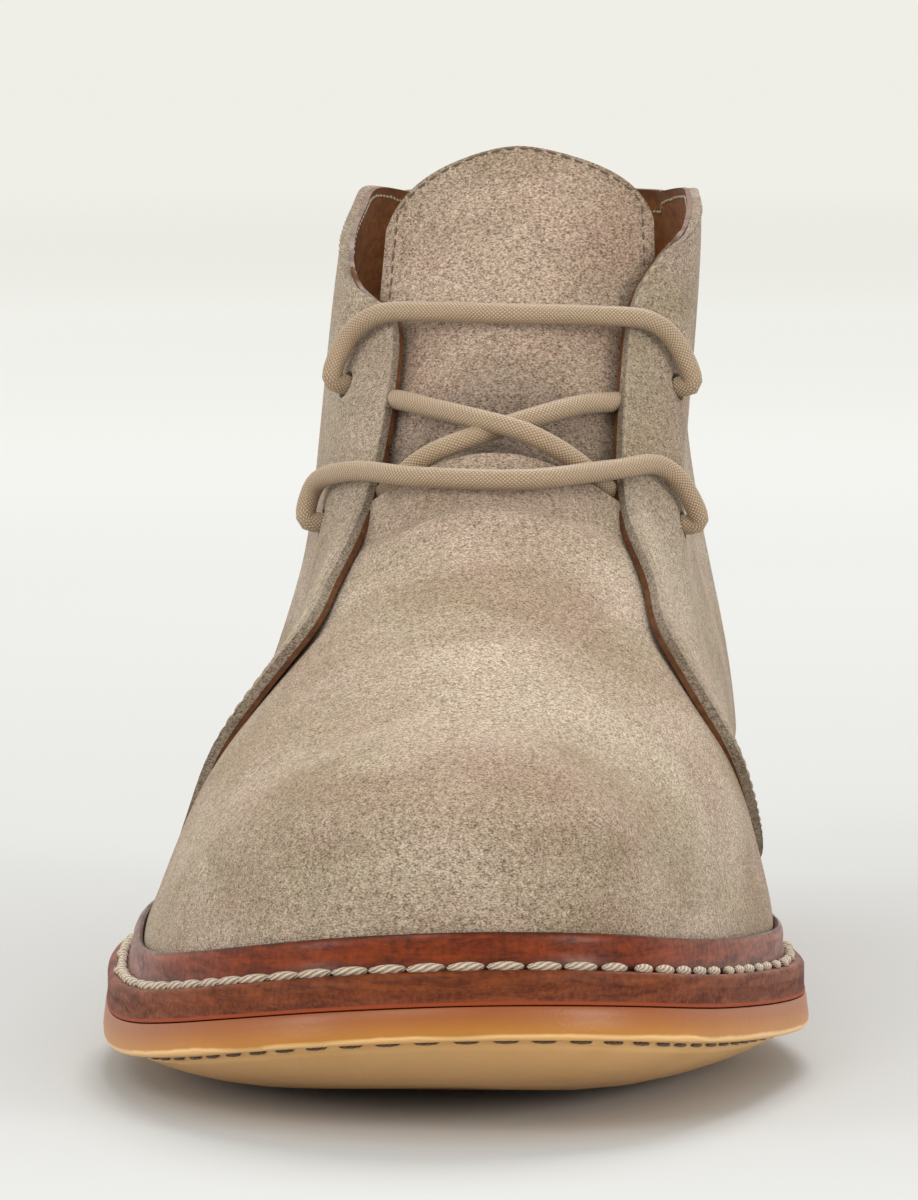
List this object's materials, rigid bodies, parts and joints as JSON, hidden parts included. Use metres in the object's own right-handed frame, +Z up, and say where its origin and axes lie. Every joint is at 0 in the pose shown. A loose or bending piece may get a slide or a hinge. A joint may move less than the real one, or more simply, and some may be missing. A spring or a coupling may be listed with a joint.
{
  "type": "chukka boot",
  "caption": "Right ankle-high suede lace-up boot on a welted leather and amber rubber sole with a low stacked heel, open at the collar.",
  "frame": {"origin": "on the floor, at the middle of the boot's length and width", "axes": "+Z up, -Y towards the toe, +X towards the inner side of the foot"},
  "size_m": [0.1108, 0.2998, 0.1401],
  "materials": {
    "suede": "beige suede with a short mottled nap",
    "lining_leather": "smooth brown lining leather, slightly glossy",
    "welt_leather": "polished red-brown sole leather",
    "amber_rubber": "translucent honey-amber rubber",
    "waxed_lace": "round waxed cotton cord"
  },
  "bodies": {
    "root": {"outsole": "amber_rubber", "midsole": "welt_leather", "welt": "welt_leather", "rand": "welt_leather", "heel_lift": "welt_leather", "heel_top_piece": "amber_rubber", "upper": "suede", "tongue": "suede", "insole": "lining_leather", "lace_top_bar": "waxed_lace", "lace_crossing": "waxed_lace"}
  },
  "joints": []
}
